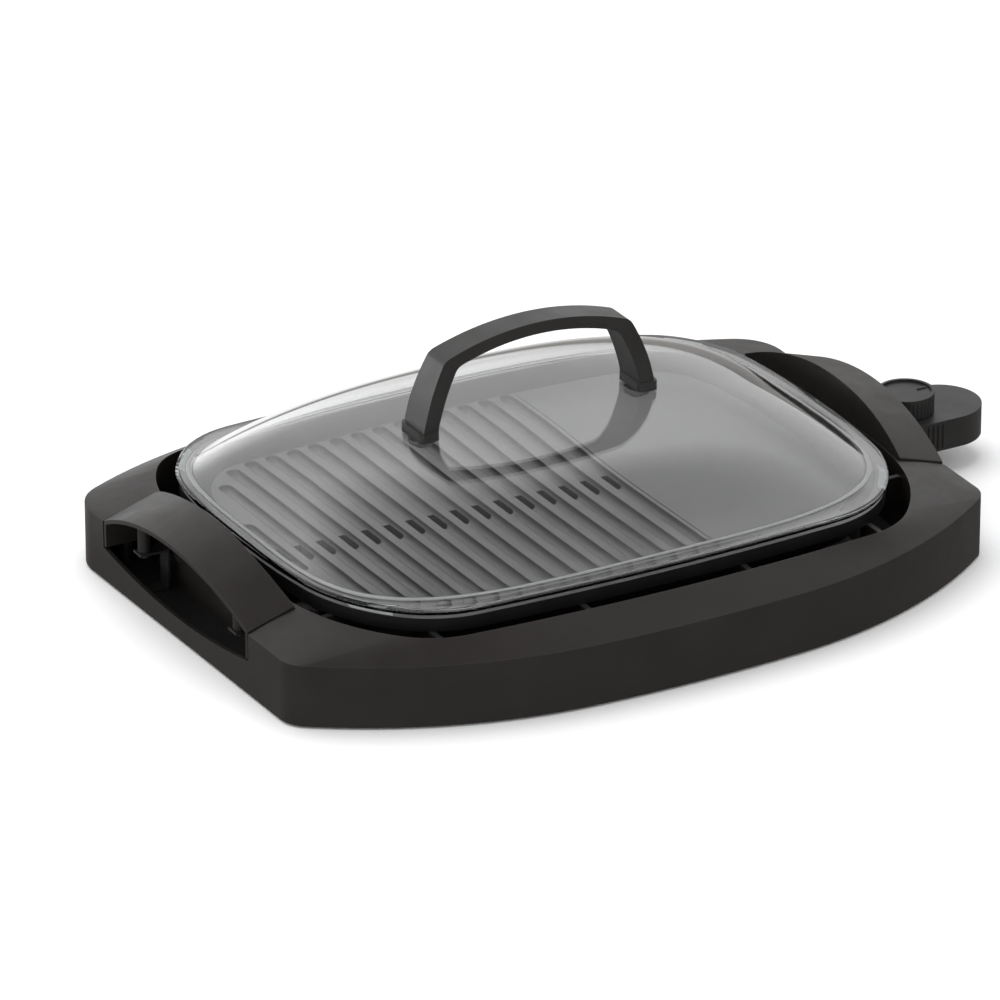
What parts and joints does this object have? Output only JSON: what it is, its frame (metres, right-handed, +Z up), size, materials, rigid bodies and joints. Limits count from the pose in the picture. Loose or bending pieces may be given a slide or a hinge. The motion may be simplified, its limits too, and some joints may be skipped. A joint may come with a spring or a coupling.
{
  "type": "electric griddle",
  "caption": "Electric griddle: ring base with arched handles, ridged cast plate, domed glass lid and a plug-in thermostat control.",
  "frame": {"origin": "middle of the whole object's footprint, at the bottom of the feet", "axes": "+X towards the plug-in control, +Y to the back, +Z up"},
  "size_m": [0.5639, 0.3752, 0.1615],
  "materials": {
    "base_plastic": "satin moulded, fine grain",
    "lid_plastic": "satin moulded",
    "control_plastic": "satin moulded",
    "block_plastic": "moulded phenolic",
    "nonstick": "dark non-stick coating",
    "cast_aluminium": "as cast",
    "bright_sheet": "rolled sheet",
    "black_sheet": "black enamel",
    "screw_steel": "zinc plated",
    "dark_screw_steel": "black zinc",
    "element_sheath": "oxidised sheath",
    "ceramic": "white ceramic, glazed",
    "glass": "clear tempered",
    "rubber": "matt",
    "silicone": "matt",
    "clear_silicone": "translucent",
    "brass": "bright"
  },
  "bodies": {
    "base": {"base_frame": "base_plastic", "bottom_cover": "black_sheet", "bottom_screws": "screw_steel", "rubber_feet": "rubber", "left_handle": "base_plastic", "right_handle": "base_plastic", "handle_brackets": "black_sheet", "handle_screws": "dark_screw_steel", "plate_rests": "black_sheet", "drip_tray": "bright_sheet", "heat_reflector": "bright_sheet"},
    "plate": {"griddle_plate": "nonstick", "heating_element": "element_sheath", "element_clips": "bright_sheet", "clip_screws": "screw_steel", "terminal_guard": "bright_sheet", "guard_screws": "screw_steel", "terminal_insulators": "ceramic", "terminal_pins": "screw_steel", "probe_sleeve": "cast_aluminium"},
    "lid": {"lid_glass": "glass", "lid_handle": "lid_plastic", "handle_gaskets": "silicone", "lid_washers": "screw_steel", "lid_screws": "screw_steel", "lid_pads": "clear_silicone"},
    "control": {"control_lower_shell": "control_plastic", "control_upper_shell": "control_plastic", "control_screws": "screw_steel", "contact_block": "block_plastic", "socket_contacts": "brass", "probe_rod": "screw_steel", "bimetal_strip": "brass", "contact_arms": "brass", "cord_gland": "rubber"},
    "dial": {"control_dial": "control_plastic", "dial_spindle": "block_plastic", "dial_circlip": "screw_steel"}
  },
  "joints": [
    {"name": "plate_lift", "type": "slide", "parent": "base", "child": "plate", "axis": [0, 0, 1], "range_m": [0, 0.01]},
    {"name": "lid_lift", "type": "slide", "parent": "plate", "child": "lid", "axis": [0, 0, 1], "range_m": [0, 0.12]},
    {"name": "control_pull", "type": "slide", "parent": "plate", "child": "control", "axis": [1, 0, 0], "range_m": [0, 0.1]},
    {"name": "dial_turn", "type": "hinge", "parent": "control", "child": "dial", "pos_m": [0.2303, 0.0136, 0.044], "axis": [0, 0, -1], "range_deg": [0, 270]}
  ]
}
